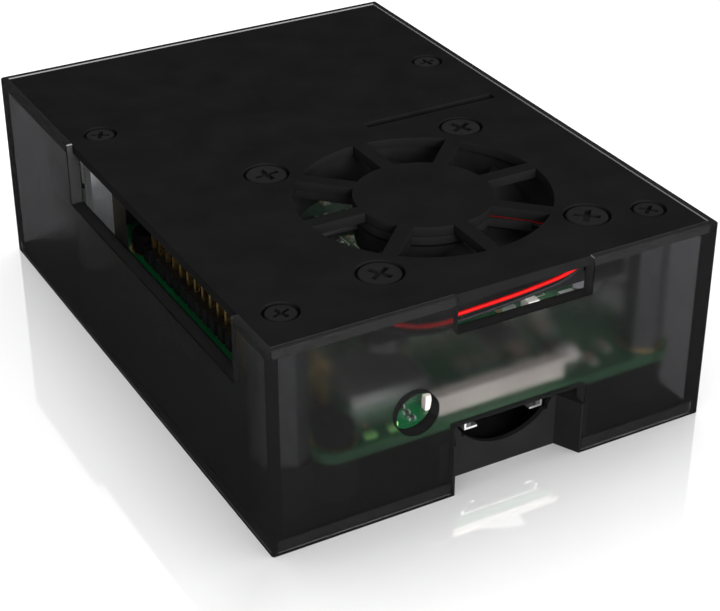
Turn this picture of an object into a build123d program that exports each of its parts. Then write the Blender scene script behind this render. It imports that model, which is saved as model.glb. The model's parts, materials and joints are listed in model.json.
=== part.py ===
from build123d import *
import os
from math import cos, pi, radians, sin, tan

# A cased single board computer: an 85 x 56 mm board in a smoky four-walled frame, closed by a
# black base plate and a black top cover that carries a 40 mm cooling fan.
# Frame: origin on the floor under the middle of the case, +Z up, -Y towards the memory card slot,
# -X towards the long pin header, +X towards the power and video ports, +Y towards the USB ports.

# ---------------------------------------------------------------- driving dimensions (mm)
case_width = 67.2
case_length = 92.4
case_height = 30.4
wall = 2.0
rim = 1.0                    # wall left outside the inset base plate and top cover
cover_thickness = 1.4
cover_drop = 0.2             # the cover's face lies this far below the frame's rim
base_thickness = 1.8
seat_gap = 0.05              # play between an inset plate and the frame

board_length = 85.0
board_width = 56.0
board_thickness = 1.5
board_top = 9.7
board_side_gap = 0.1         # between the board's port edge and the frame
board_front_gap = 4.5        # between the board's card edge and the case's front face
board_corner = 3.0
hole_inset = 3.5
hole_pitch_y = 58.0
hole_pitch_x = 49.0
board_hole_radius = 1.375

fan_size = 40.0
fan_depth = 6.0
fan_hole_pitch = 32.0
fan_duct_radius = 18.9
fan_center = (3.7, -19.66)

header_pitch = 2.54
header_columns = 20
header_first = 8.37          # first pin's distance from the board's card edge
header_across = 52.5         # middle of the two rows, from the board's port edge
header_base_height = 2.54
pin_side = 0.64

# ---------------------------------------------------------------- places worked out from them
half_width = case_width / 2
half_length = case_length / 2
cover_top = case_height - cover_drop
cover_under = cover_top - cover_thickness
board_under = board_top - board_thickness
board_right = half_width - wall - board_side_gap
board_front = -half_length + board_front_gap
fan_top = cover_under
fan_bottom = fan_top - fan_depth


def board_point(along, across):
    """Case place of a board place: along from the card edge, across from the port edge."""
    return board_right - across, board_front + along


near_holes_y = board_front + hole_inset
far_holes_y = near_holes_y + hole_pitch_y
right_posts_x = board_right - hole_inset
board_left_holes_x = right_posts_x - hole_pitch_x
left_posts_x = -half_width + 5.94          # beside the board, clear of its edge
post_places = [(x, y) for x in (left_posts_x, right_posts_x) for y in (near_holes_y, far_holes_y)]
left_posts = post_places[:2]
right_posts = post_places[2:]
board_screw_places = [(board_left_holes_x, y) for y in (near_holes_y, far_holes_y)]
fan_screw_places = [(fan_center[0] + sx * fan_hole_pitch / 2, fan_center[1] + sy * fan_hole_pitch / 2)
                    for sx in (-1, 1) for sy in (-1, 1)]

post_flats = 5.0             # across the flats of the hexagonal standoffs
left_boss_top = 9.2
small_screw_radius = 1.2
small_head_radius = 2.1
small_recess_radius = 2.5
fan_screw_radius = 1.45
fan_head_radius = 2.9
fan_recess_radius = 3.3
recess_depth = 0.8
recess_floor = cover_top - recess_depth


# ---------------------------------------------------------------- small builders
def block(x, y, z):
    """Box between a low and a high value on each axis."""
    size = (x[1] - x[0], y[1] - y[0], z[1] - z[0])
    middle = ((x[0] + x[1]) / 2, (y[0] + y[1]) / 2, (z[0] + z[1]) / 2)
    return Pos(*middle) * Box(*size)


def block_at(x, y, z, size):
    """Box centred on x and y, standing on z."""
    return Pos(x, y, z + size[2] / 2) * Box(*size)


def post(x, y, radius, bottom, top):
    """Upright cylinder."""
    return Pos(x, y, (bottom + top) / 2) * Cylinder(radius, top - bottom)


def ring(x, y, outer, inner, bottom, top):
    """Upright tube."""
    return post(x, y, outer, bottom, top) - post(x, y, inner, bottom - 1, top + 1)


def hexagon(x, y, flats, bottom, top, turn=0.0):
    """Upright hexagonal bar with its flats facing +X and -X."""
    sketch = RegularPolygon(flats / 2, 6, major_radius=False, rotation=30 + turn)
    return Pos(x, y, bottom) * extrude(sketch, top - bottom)


def on_board(along, across, length, width, height, lift=0.0):
    """Box standing on the board: length runs along the board, width across it."""
    x, y = board_point(along, across)
    return block_at(x, y, board_top + lift, (width, length, height))


def under_board(along, across, length, width, height):
    """Box hanging from the board's underside."""
    x, y = board_point(along, across)
    return block_at(x, y, board_under - height, (width, length, height))


def group(shapes):
    """Separate solids kept together in one node."""
    solids = []
    for shape in shapes:
        solids.extend(shape.solids())
    return Compound(children=solids)


def soften(shape, radius, axis=Axis.Z):
    """Round the edges that run along one axis."""
    return fillet(shape.edges().filter_by(axis), radius)


# ---------------------------------------------------------------- enclosure
window_y = (-half_length + 9.6, -half_length + 64.5)       # header window in the left wall
window_sill = 20.8
notch_x = (-half_width + 26.5, -half_width + 47.1)         # both front notches share this width
upper_notch_sill = 25.0
lower_notch_top = 11.0
light_hole = (-half_width + 21.0, 14.8)                    # x and z of the round hole
light_hole_radius = 3.15
usb_across = (47.0, 29.0)                                  # middles of the two USB stacks
usb_width = 13.1
usb_height = 15.6
ethernet_across = 10.25
ethernet_width = 15.9
ethernet_height = 13.5
power_along = 10.6
video_along = 32.0
audio_along = 53.5
port_reach = 1.3                                           # ports stand this far past the board
audio_radius = 3.1
audio_axis_z = board_top + 3.2
port_play = 0.4                                            # gap round a port in its wall
usb_play = 1.1
port_drop = 0.6                                            # wall openings start this far below the board
power_cutout = (8.6, -0.5, 3.3)                            # width, and heights from the board's top
video_cutout = (15.8, -0.5, 6.6)
corner_round = 0.4
rim_bevel = 0.2


def frame_cutouts():
    """Everything cut out of the four walls."""
    through = wall + 2
    left = (-half_width - 1, -half_width + through)
    front = (-half_length - 1, -half_length + through)
    right = (half_width - wall - 0.5, half_width + 1)
    back = (half_length - through, half_length + 1)
    cuts = [block(left, window_y, (window_sill, case_height + 1))]
    cuts.append(block(notch_x, front, (upper_notch_sill, case_height + 1)))
    cuts.append(block(notch_x, front, (-1, lower_notch_top)))
    hole = Pos(light_hole[0], -half_length + wall / 2, light_hole[1]) * Rot(90, 0, 0)
    cuts.append(hole * Cylinder(light_hole_radius, wall + 2))
    for across in usb_across:
        x = board_right - across
        side = usb_width / 2 + usb_play
        cuts.append(block((x - side, x + side), back,
                          (board_top - port_drop, board_top + usb_height + 2 * port_play)))
    x = board_right - ethernet_across
    side = ethernet_width / 2 + port_play
    cuts.append(block((x - side, x + side), back,
                      (board_top - port_drop, board_top + ethernet_height + port_play + 0.2)))
    for along, (width, low, high) in ((power_along, power_cutout), (video_along, video_cutout)):
        y = board_front + along
        span = (y - width / 2, y + width / 2)
        cuts.append(block(right, span, (board_top + low, board_top + high)))
    y = board_front + audio_along
    hole = Pos(half_width - wall / 2, y, audio_axis_z) * Rot(0, 90, 0)
    cuts.append(hole * Cylinder(audio_radius + port_play, wall + 2))
    return cuts


def build_wall_frame():
    """Four smoky walls in one piece, stepped at both ends to take the base and the cover."""
    outside = block((-half_width, half_width), (-half_length, half_length), (0, case_height))
    outside = soften(outside, corner_round)
    outside = chamfer(outside.edges().group_by(Axis.Z)[-1], rim_bevel)
    inner_x = half_width - wall
    inner_y = half_length - wall
    step_x = half_width - rim
    step_y = half_length - rim
    hollow = block((-inner_x, inner_x), (-inner_y, inner_y), (-1, case_height + 1))
    top_step = block((-step_x, step_x), (-step_y, step_y), (cover_under, case_height + 1))
    base_step = block((-step_x, step_x), (-step_y, step_y), (-1, base_thickness))
    frame = outside - hollow - top_step - base_step
    for cut in frame_cutouts():
        frame = frame - cut
    return frame


grille_radius = 17.9
grille_hub_radius = 9.75
spoke_width = 2.1
spoke_count = 8
slot_place = (-half_width + 52.35, -half_length + 49.6)    # ribbon slot over the camera connector
slot_size = (22.3, 1.6)


def grille_opening():
    """Ring-shaped air opening crossed by straight spokes."""
    x, y = fan_center
    opening = ring(x, y, grille_radius, grille_hub_radius, cover_under - 1, case_height + 1)
    for index in range(spoke_count // 2):
        bar = Box(2 * grille_radius + 2, spoke_width, 2 * cover_thickness + 4)
        turned = Rot(0, 0, index * 360 / spoke_count) * bar
        opening = opening - Pos(x, y, cover_under) * turned
    return opening


def build_top_cover():
    """Inset black plate with the fan grille, eight sunk screw seats and the ribbon slot."""
    side_x = half_width - rim - seat_gap
    side_y = half_length - rim - seat_gap
    cover = block((-side_x, side_x), (-side_y, side_y), (cover_under, cover_top))
    cover = cover - grille_opening()
    for x, y in fan_screw_places:
        cover = cover - post(x, y, fan_recess_radius, recess_floor, case_height + 1)
        cover = cover - post(x, y, fan_screw_radius + 0.15, cover_under - 1, case_height)
    for x, y in post_places:
        cover = cover - post(x, y, small_recess_radius, recess_floor, case_height + 1)
        cover = cover - post(x, y, small_screw_radius + 0.15, cover_under - 1, case_height)
    slot = block_at(slot_place[0], slot_place[1], cover_under - 1, (slot_size[0], slot_size[1], 4))
    return cover - slot


boss_radius = 3.0
left_boss_radius = 3.1
pocket_top = 8.0
pocket_back = -half_length + 3.6           # inner face of the card pocket's wall
pocket_wall_back = -half_length + 4.35
pocket_flare = 2.1                         # each side of the pocket widens by this towards the front
pocket_lip = 0.35                          # flat left beside the notch at the pocket's mouth
finger_radius = 8.8                        # finger scoop in the pocket's wall
finger_center_z = 12.4
pocket_dip = (6.9, 6.2)                    # half width and level of the lower part of the pocket's wall
base_head_depth = 1.0


def pocket_space():
    """Tapered recess that leads fingers to the memory card."""
    low, high = notch_x
    front = -half_length - 1
    mouth = pocket_lip - (pocket_flare - pocket_lip) / (pocket_back + half_length)
    outline = Polyline((low + mouth, front), (high - mouth, front),
                       (high - pocket_flare, pocket_back), (low + pocket_flare, pocket_back), close=True)
    return Pos(0, 0, -1) * extrude(make_face(outline), pocket_top + 2)


def card_pocket():
    """Walls of the recess, standing on the base plate and filling the frame's lower notch."""
    low, high = notch_x
    inside = block((low - 1.4, high + 1.4), (-half_length + wall + 0.05, pocket_wall_back), (0, pocket_top))
    outside = block((low + 0.05, high - 0.05), (-half_length, -half_length + wall + 1), (0, pocket_top))
    middle = (low + high) / 2
    scoop = Pos(middle, pocket_back, finger_center_z) * Rot(90, 0, 0) * Cylinder(finger_radius, 8)
    side, level = pocket_dip
    dip = block((middle - side, middle + side), (pocket_back - 0.5, pocket_wall_back + 0.5),
                (level, pocket_top + 1))
    return inside + outside, scoop + dip


def build_base_plate():
    """Inset black plate with the board's bosses and the card pocket."""
    side_x = half_width - rim - seat_gap
    side_y = half_length - rim - seat_gap
    base = block((-side_x, side_x), (-side_y, side_y), (0, base_thickness))
    for x, y in left_posts:
        base = base + post(x, y, left_boss_radius, 0.5, left_boss_top)
    for x, y in right_posts + board_screw_places:
        base = base + post(x, y, boss_radius, 0.5, board_under)
    walls, scoop = card_pocket()
    base = base + walls
    base = base - pocket_space() - scoop
    for x, y in post_places:
        base = base - post(x, y, small_recess_radius, -1, base_head_depth)
        base = base - post(x, y, small_screw_radius + 0.15, 0, left_boss_top + 1)
    for x, y in board_screw_places:
        base = base - post(x, y, small_screw_radius, cap_screw_tip - 0.5, board_under + 1)
    return base


def build_standoffs():
    """Four hexagonal metal standoffs between the base and the top cover."""
    bars = []
    for x, y in post_places:
        bottom = left_boss_top if (x, y) in left_posts else board_top
        bar = hexagon(x, y, post_flats, bottom, cover_under)
        bore = post(x, y, small_screw_radius, bottom - 1, bottom + 5)
        bore_top = post(x, y, small_screw_radius, cover_under - 6, cover_under + 1)
        bars.append(bar - bore - bore_top)
    return group(bars)


cross_depth = 0.5
cross_slimness = 0.24        # width of a drive slot over its length
cross_share = 1.25           # length of a drive slot over the head's radius


def cross_recess(size, depth, turn):
    """Cutter for a cross drive."""
    bar = Box(size, size * cross_slimness, depth * 2)
    return Rot(0, 0, turn) * (bar + Rot(0, 0, 90) * bar)


def sunk_screw(x, y, radius, head_radius, head_top, head_height, tip, turn):
    """Screw with a domed-edge cylinder head and a cross drive, pointing down."""
    head = post(x, y, head_radius, head_top - head_height, head_top)
    head = fillet(head.edges().group_by(Axis.Z)[-1], head_height * 0.4)
    shank = post(x, y, radius, tip, head_top - head_height)
    shank = chamfer(shank.edges().group_by(Axis.Z)[0], radius * 0.3)
    drive = Pos(x, y, head_top) * cross_recess(head_radius * cross_share, cross_depth, turn)
    return head + shank - drive


screw_turns = (18.0, 62.0, 40.0, 8.0)
head_sink = 0.15             # play above a sunk head
cover_screw_reach = 5.0
base_screw_reach = 4.0
cap_head_radius = 2.7
cap_head_height = 3.0
cap_socket_flats = 2.4
cap_socket_bottom = 1.6
cap_screw_tip = 3.5


def build_cover_screws():
    """Four small screws that hold the top cover to the standoffs."""
    screws = []
    for (x, y), turn in zip(post_places, screw_turns):
        screws.append(sunk_screw(x, y, small_screw_radius, small_head_radius, cover_top - head_sink,
                                 recess_depth - head_sink, cover_under - cover_screw_reach, turn))
    return group(screws)


def build_base_screws():
    """Four screws that come up through the base into the standoffs."""
    screws = []
    for (x, y), turn in zip(post_places, screw_turns):
        tip = (left_boss_top if (x, y) in left_posts else board_top) + base_screw_reach
        screw = sunk_screw(0, 0, small_screw_radius, small_head_radius, 0, base_head_depth - head_sink,
                           head_sink - tip, turn)
        screws.append(Pos(x, y, head_sink) * Rot(180, 0, 0) * screw)
    return group(screws)


def build_board_screws():
    """Two black cap screws that hold the board's header side to its bosses."""
    screws = []
    for x, y in board_screw_places:
        head = post(x, y, cap_head_radius, board_top, board_top + cap_head_height)
        head = fillet(head.edges().group_by(Axis.Z)[-1], 0.4)
        socket = hexagon(x, y, cap_socket_flats, board_top + cap_socket_bottom, board_top + cap_head_height)
        shank = post(x, y, small_screw_radius, cap_screw_tip, board_top)
        screws.append(head - socket + shank)
    return group(screws)


# ---------------------------------------------------------------- cooling fan
# The motor plate lies against the top cover and the air blows down onto the board.
plate_thickness = 1.3
plate_radius = 9.7
wire_strut_angle = -45.0
rotor_gap = 0.5              # between the motor plate and the rotor's rim
rotor_top = fan_top - plate_thickness - rotor_gap
rotor_bottom = fan_bottom + 0.4
hub_radius = 9.4
hub_wall = 0.7
blade_count = 7
blade_tip_radius = fan_duct_radius - 0.6
blade_root = (hub_radius - 0.3, 36, 6.2, 0.9, 0)            # radius, pitch, chord, thickness, lean
blade_middle = ((hub_radius + blade_tip_radius) / 2, 32, 8.0, 0.75, 7)
blade_tip = (blade_tip_radius + 1.5, 25, 9.6, 0.6, 15)
shaft_radius = 1.0
sleeve_radius = 2.1
tube_radius = 3.0            # bearing tube
plate_sink = 0.1             # the motor plate stops this far below the fan's top face
wide_strut = 3.4
strut_width = 1.7
fan_middle = fan_bottom + fan_depth / 2
fan_bore_radius = 1.7
relief_side = 9.0
relief_height = 3.0
lead_radius = 0.28
channel_width = 2.3
channel_depth = 1.1
lead_exit_x = fan_center[0] + 12.6         # where the leads leave the fan's front face
channel_bend_radius = 2.2


def about_fan(shape):
    """Move a shape built about the Z axis onto the fan's axis."""
    return Pos(fan_center[0], fan_center[1], 0) * shape


def corner_reliefs():
    """Cuts between the two flanges at each corner of the fan's frame."""
    half = fan_size / 2
    cut = Box(relief_side, relief_side, relief_height)
    reliefs = []
    for sx in (-1, 1):
        for sy in (-1, 1):
            reliefs.append(Pos(sx * (half - 2.5), sy * (half - 2.5), fan_middle) * cut)
    return reliefs


def fan_body():
    """Square outside of the fan with its round duct."""
    half = fan_size / 2
    body = soften(block((-half, half), (-half, half), (fan_bottom, fan_top)), 1.6)
    keep = Pos(0, 0, fan_middle) * Cylinder(fan_duct_radius + 1.0, fan_depth)
    for relief in corner_reliefs():
        body = body - (relief - keep)
    body = body - Pos(0, 0, fan_middle) * Cylinder(fan_duct_radius, fan_depth + 2)
    hole_place = fan_hole_pitch / 2
    for sx in (-1, 1):
        for sy in (-1, 1):
            body = body - post(sx * hole_place, sy * hole_place, fan_bore_radius, fan_bottom - 1, fan_top + 1)
    return body


def fan_struts():
    """Motor plate and the four struts that carry it; one strut is wider for the leads."""
    bottom = fan_top - plate_thickness
    plate = post(0, 0, plate_radius, bottom, fan_top - plate_sink)
    reach = fan_duct_radius + 0.5
    for index in range(4):
        angle = wire_strut_angle + 90 * index
        width = wide_strut if index == 0 else strut_width
        bar = block((plate_radius - 1, reach), (-width / 2, width / 2), (bottom, fan_top - plate_sink))
        plate = plate + Rot(0, 0, angle) * bar
    return plate


def lead_channel():
    """Groove in the top of the wide strut and of the frame, out to the fan's front face."""
    low = fan_top - plate_sink - channel_depth
    along = block((6.2, fan_duct_radius - 1.2), (-channel_width / 2, channel_width / 2), (low, fan_top + 1))
    along = Rot(0, 0, wire_strut_angle) * along
    exit_x = lead_exit_x - fan_center[0]
    half = channel_width / 2
    out = block((exit_x - half, exit_x + half), (-fan_size / 2 - 1, -exit_x), (low, fan_top + 1))
    bend = post(exit_x - 0.7, -exit_x - 0.3, channel_bend_radius, low, fan_top + 1)
    return along + out + bend


def build_fan_housing():
    """Black fan frame with its motor plate, struts and bearing tube."""
    housing = fan_body() + fan_struts()
    tube = post(0, 0, tube_radius, rotor_bottom + 1.6, fan_top - plate_thickness + 0.1)
    housing = housing + tube
    housing = housing - post(0, 0, sleeve_radius, fan_bottom - 1, fan_top - 0.55)
    housing = housing - lead_channel()
    return about_fan(housing)


def build_fan_bushing():
    """Bronze sleeve pressed into the bearing tube."""
    return about_fan(ring(0, 0, sleeve_radius, shaft_radius + 0.04, rotor_bottom + 1.8, fan_top - 1.5))


def build_fan_circuit():
    """Ring-shaped circuit board under the motor plate."""
    top = fan_top - plate_thickness
    board = ring(0, 0, 7.2, tube_radius + 0.1, top - 0.6, top)
    chip = Pos(5.4, 0, top - 0.9) * Box(2.2, 2.2, 0.6)
    return about_fan(board + Rot(0, 0, 45) * chip)


stator_top = rotor_top - 1.0
stator_bottom = stator_top - 1.3
coil_margin = 0.5            # a coil stands this far above and below its pole
magnet_outer = hub_radius - hub_wall - 0.02
magnet_inner = magnet_outer - 1.0
pole_reach = magnet_inner - 0.35


def build_fan_stator():
    """Laminated four-pole iron core round the bearing tube."""
    core = ring(0, 0, tube_radius + 1, tube_radius + 0.02, stator_bottom, stator_top)
    shoes = ring(0, 0, pole_reach, pole_reach - 0.9, stator_bottom, stator_top)
    for index in range(4):
        angle = 90 * index
        arm = block((3.6, pole_reach - 0.4), (-0.8, 0.8), (stator_bottom, stator_top))
        core = core + Rot(0, 0, angle) * arm
        gap = block((pole_reach - 2, pole_reach + 1), (-0.7, 0.7), (stator_bottom - 1, stator_top + 1))
        shoes = shoes - Rot(0, 0, angle + 45) * gap
    return about_fan(core + shoes)


def build_fan_coils():
    """Four copper windings, one round each pole."""
    coils = []
    middle = (stator_top + stator_bottom) / 2
    depth = stator_top - stator_bottom
    for index in range(4):
        outer = Pos(5.15, 0, middle) * Box(1.7, 3.0, depth + 2 * coil_margin)
        outer = fillet(outer.edges().filter_by(Axis.X), 0.5)
        inner = Pos(5.15, 0, middle) * Box(3.0, 1.64, depth + 0.04)
        coils.append(about_fan(Rot(0, 0, 90 * index) * (outer - inner)))
    return group(coils)


def blade_section(radius, pitch, chord, thickness, lean):
    """One slanted cross-section of a blade, on a plane that faces outwards."""
    middle = (rotor_top + rotor_bottom) / 2
    x_dir = Vector(-sin(radians(lean)), cos(radians(lean)), 0)
    outwards = Vector(cos(radians(lean)), sin(radians(lean)), 0)
    origin = outwards * radius + Vector(0, 0, middle)
    section = Plane(origin=origin, x_dir=x_dir, z_dir=outwards) * Rot(0, 0, pitch)
    return section * Rectangle(chord, thickness)


def one_blade():
    """Twisted blade that sweeps forward towards its tip."""
    sections = [blade_section(*values) for values in (blade_root, blade_middle, blade_tip)]
    blade = loft(Sketch() + sections)
    space = ring(0, 0, blade_tip_radius, blade_root[0], rotor_bottom, rotor_top)
    return blade & space


def build_fan_rotor():
    """Hub cup, open towards the motor plate, with its blades."""
    cup = post(0, 0, hub_radius, rotor_bottom, rotor_top)
    cup = fillet(cup.edges().group_by(Axis.Z)[0], 0.6)
    cup = cup - post(0, 0, hub_radius - hub_wall, rotor_bottom + 0.8, rotor_top + 1)
    cup = cup + post(0, 0, 2.0, rotor_bottom + 0.5, rotor_bottom + 1.4)
    cup = cup - post(0, 0, shaft_radius, rotor_bottom + 0.6, rotor_top)
    blade = one_blade()
    for index in range(blade_count):
        cup = cup + Rot(0, 0, index * 360 / blade_count) * blade
    return about_fan(cup)


def build_fan_magnet():
    """Ring magnet inside the hub."""
    return about_fan(ring(0, 0, magnet_outer, magnet_inner, rotor_bottom + 0.9, rotor_top - 0.2))


def build_fan_shaft():
    """Steel shaft fixed in the hub."""
    shaft = post(0, 0, shaft_radius, rotor_bottom + 0.6, fan_top - 0.7)
    groove = ring(0, 0, shaft_radius + 1, shaft_radius - 0.25, fan_top - 1.3, fan_top - 0.95)
    return about_fan(shaft - groove)


def build_fan_clip():
    """Split ring that keeps the shaft in its sleeve."""
    clip = ring(0, 0, 1.8, shaft_radius - 0.25, fan_top - 1.28, fan_top - 0.97)
    gap = block((0, 3), (-0.3, 0.3), (fan_top - 2, fan_top))
    return about_fan(clip - gap)


def build_fan_screws():
    """Four long screws through the cover and the fan."""
    screws = []
    for (x, y), turn in zip(fan_screw_places, (30.0, 4.0, 50.0, 24.0)):
        screws.append(sunk_screw(x, y, fan_screw_radius, fan_head_radius, cover_top - 0.1,
                                 recess_depth - 0.1, fan_bottom - 3.2, turn))
    return group(screws)


def build_fan_nuts():
    """Four nuts under the fan's corners."""
    nuts = []
    for x, y in fan_screw_places:
        nut = hexagon(x, y, 5.5, fan_bottom - 2.4, fan_bottom)
        nuts.append(nut - post(x, y, fan_screw_radius, fan_bottom - 4, fan_bottom + 1))
    return group(nuts)


# ---------------------------------------------------------------- fan lead
# Both leads leave the motor plate side by side, turn along the front wall with the red one above
# the black one, and drop into the plug on the header's outer row.
plug_height = 14.0
header_top = board_top + header_base_height
outer_row_across = header_across + header_pitch / 2
plug_columns = (1, 2)                      # columns of the outer row that the plug sits on
plug_bottom = header_top + 0.05
plug_top = plug_bottom + plug_height
wire_seat = plug_top - 1.9                 # where a lead ends inside the plug
lead_level = fan_top - plate_sink - channel_depth + lead_radius
lead_spacing = 2 * lead_radius + 0.1
lead_start_radius = 6.5
bend_share = 0.45                          # part of a straight run that one rounded corner may use


def pin_along(column):
    """Distance of a header column from the board's card edge."""
    return header_first + header_pitch * column


def plug_place(column):
    """Case place of one plug pin."""
    return board_point(pin_along(plug_columns[column]), outer_row_across)


def channel_points(side):
    """Start of a lead and its bend in the strut's channel; side is 1 for red and -1 for black."""
    direction = Vector(1, 0, 0).rotate(Axis.Z, wire_strut_angle)
    beside = direction.rotate(Axis.Z, 90) * (side * lead_spacing / 2)
    axis = Vector(fan_center[0], fan_center[1], lead_level)
    start = axis + direction * lead_start_radius + beside
    exit_x = lead_exit_x + side * lead_spacing / 2
    bend = start + direction * ((exit_x - start.X) / direction.X)
    return [tuple(start), tuple(bend)]


def from_corner(points):
    """Move points given from the case's left front corner into the case's frame."""
    return [(x - half_width, y - half_length, z) for x, y, z in points]


def red_route():
    """Corner points of the red lead."""
    hung = [(50.4, 6.0, 27.95), (49.1, 4.2, 27.6), (45.2, 3.75, 26.5), (38.2, 3.75, 25.75),
            (30.8, 3.7, 25.5), (25.6, 3.8, 25.2), (21.6, 4.0, 25.9), (18.2, 5.2, 27.2),
            (14.8, 9.2, 28.1), (12.9, 14.0, 28.15), (11.6, 16.9, 28.2)]
    x, y = plug_place(1)
    return channel_points(1) + from_corner(hung) + [(x, y, 27.2), (x, y, wire_seat)]


def black_route():
    """Corner points of the black lead."""
    hung = [(49.4, 6.0, 27.95), (48.3, 4.5, 26.8), (45.0, 3.8, 25.6), (37.8, 3.8, 24.8),
            (30.6, 3.7, 24.4), (25.0, 3.9, 24.2), (21.0, 4.3, 24.9), (16.6, 5.9, 26.4),
            (13.2, 8.7, 27.2), (11.6, 11.9, 27.5), (11.3, 14.3, 27.4)]
    x, y = plug_place(0)
    return channel_points(-1) + from_corner(hung) + [(x, y, 26.6), (x, y, wire_seat)]


def tangent_radii(points):
    """Fillet radius at each inner corner, from the shorter run beside it and the turn."""
    vectors = [Vector(*b) - Vector(*a) for a, b in zip(points, points[1:])]
    radii = []
    for first, second in zip(vectors, vectors[1:]):
        turn = radians(first.get_angle(second))
        radii.append(bend_share * min(first.length, second.length) / tan(turn / 2))
    return radii


def build_lead(points):
    """One insulated lead along its route."""
    radii = tangent_radii(points)
    path = FilletPolyline(*points, radius=radii)
    start = Plane(origin=path @ 0, z_dir=path % 0)
    tube = sweep(start * Circle(lead_radius), path=path)
    expected = pi * lead_radius ** 2 * path.length
    print("lead", round(path.length, 2), "mm, volume over section times length",
          round(tube.volume / expected, 4), "radii", [round(radius, 2) for radius in radii])
    return tube


terminal_side = 1.5
terminal_bottom = plug_bottom + 0.8
barrel_radius = 0.62


def build_fan_plug():
    """Two-way crimp housing pushed onto two header pins."""
    middle_x = plug_place(0)[0]
    middle_y = (plug_place(0)[1] + plug_place(1)[1]) / 2
    side = header_pitch - 0.04
    plug = block_at(middle_x, middle_y, plug_bottom, (side, side + header_pitch, plug_height))
    plug = chamfer(plug.edges().filter_by(Axis.Z), 0.15)
    cavity = terminal_side + 0.1
    for column in range(len(plug_columns)):
        x, y = plug_place(column)
        plug = plug - block_at(x, y, plug_bottom - 1, (cavity, cavity, plug_height + 2))
        plug = plug - block_at(x - 1.0, y, plug_bottom + 6.2, (0.9, 1.2, 3.4))
    return plug


def build_plug_terminals():
    """Two crimp terminals that grip the header pins and the leads."""
    terminals = []
    neck = plug_bottom + 7.6
    for column in range(len(plug_columns)):
        x, y = plug_place(column)
        box = block_at(x, y, terminal_bottom, (terminal_side, terminal_side, neck - terminal_bottom))
        grip = pin_side + 0.06
        box = box - block_at(x, y, terminal_bottom - 1, (grip, grip, 6.5))
        terminals.append(box + post(x, y, barrel_radius, neck - 0.2, wire_seat))
    return group(terminals)


# ---------------------------------------------------------------- circuit board
def header_places():
    """Every pin of the long header."""
    places = []
    for column in range(header_columns):
        for side in (-0.5, 0.5):
            places.append(board_point(pin_along(column), header_across + side * header_pitch))
    return places


def build_circuit_board():
    """Bare board with its mounting holes and header holes."""
    board = block((board_right - board_width, board_right), (board_front, board_front + board_length),
                  (board_under, board_top))
    board = soften(board, board_corner)
    for x, y in right_posts + board_screw_places:
        board = board - post(x, y, board_hole_radius, board_under - 1, board_top + 1)
    drills = [post(x, y, 0.5, board_under - 1, board_top + 1) for x, y in header_places()]
    return board - Compound(children=drills)


def header_pin(x, y):
    """Square pin with tapered tips."""
    pin = block_at(x, y, board_under - 1.3, (pin_side, pin_side, 11.3))
    tips = pin.faces().sort_by(Axis.Z)
    edges = tips[0].edges() + tips[-1].edges()
    return chamfer(edges, 0.35, 0.15)


def build_header_pins():
    """Forty gold pins, as separate solids."""
    first = header_pin(0, 0)
    return group([Pos(x, y, 0) * first for x, y in header_places()])


def build_header_base():
    """Black moulding with a waist between the columns and a square hole for each pin."""
    middle = header_first + header_pitch * (header_columns - 1) / 2
    length = header_pitch * header_columns
    base = on_board(middle, header_across, length, header_pitch * 2, header_base_height)
    cuts = []
    for column in range(header_columns - 1):
        along = pin_along(column) + header_pitch / 2
        for side in (-1, 1):
            x, y = board_point(along, header_across + side * header_pitch)
            nick = Pos(x, y, board_top + header_base_height / 2) * Rot(0, 0, 45)
            cuts.append(nick * Box(0.7, 0.7, header_base_height + 1))
    for x, y in header_places():
        cuts.append(block_at(x, y, board_top - 1, (pin_side, pin_side, header_base_height + 2)))
    return base - Compound(children=cuts)


chip_places = {
    "processor": (25.75, 31.4, 14.0, 14.0, 1.15),
    "network_chip": (52.4, 31.0, 9.0, 9.0, 0.9),
    "power_chip": (14.6, 20.4, 5.0, 5.0, 0.8),
}


def build_processor():
    """Main processor: green carrier under a metal lid."""
    along, across, length, width, height = chip_places["processor"]
    carrier = on_board(along, across, length, width, 0.5)
    lid = on_board(along, across, length - 1.6, width - 1.6, height - 0.5, 0.5)
    return soften(carrier, 0.3), soften(lid, 0.8)


def build_chip(name):
    """Flat black chip with chamfered top edges."""
    along, across, length, width, height = chip_places[name]
    chip = on_board(along, across, length, width, height)
    return chamfer(chip.faces().sort_by(Axis.Z)[-1].edges(), 0.12)


def build_memory_chip():
    """Memory chip on the board's underside."""
    chip = under_board(27.0, 31.0, 11.5, 11.5, 0.95)
    return chamfer(chip.faces().sort_by(Axis.Z)[0].edges(), 0.12)


def build_wireless_shield():
    """Pressed metal can with vent holes over the radio."""
    can = on_board(12.4, 41.6, 10.4, 12.2, 1.7)
    can = soften(can, 0.6)
    can = fillet(can.faces().sort_by(Axis.Z)[-1].edges(), 0.25)
    can = can - on_board(12.4, 41.6, 9.8, 11.6, 1.45)
    for row in (-1, 0, 1):
        for column in (-1, 0, 1):
            x, y = board_point(12.4 + row * 2.6, 41.6 + column * 3.0)
            can = can - post(x, y, 0.45, board_top, board_top + 3)
    return can


def build_small_chips():
    """Small driver and regulator chips."""
    places = ((40.2, 46.2, 3.0, 3.0), (8.2, 15.6, 2.9, 2.8), (21.6, 10.2, 2.2, 3.0), (40.6, 30.6, 2.6, 2.6),
              (60.8, 40.6, 3.6, 3.6), (47.2, 43.8, 2.0, 3.0))
    return group([on_board(a, c, length, width, 0.75) for a, c, length, width in places])


ribbon_width = 21.5
ribbon_depth = 2.1
ribbon_body_height = 1.9
latch_height = 0.9
latch_travel = 0.8
display_place = (2.35, 28.15)              # along, across: middle of the display connector
camera_place = (45.0, 11.5)


def ribbon_slot(place):
    """Slit for the flat ribbon, cut down through body and latch."""
    return on_board(place[0] - 0.25, place[1], 0.7, 16.4, 6.0, 0.6)


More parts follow.
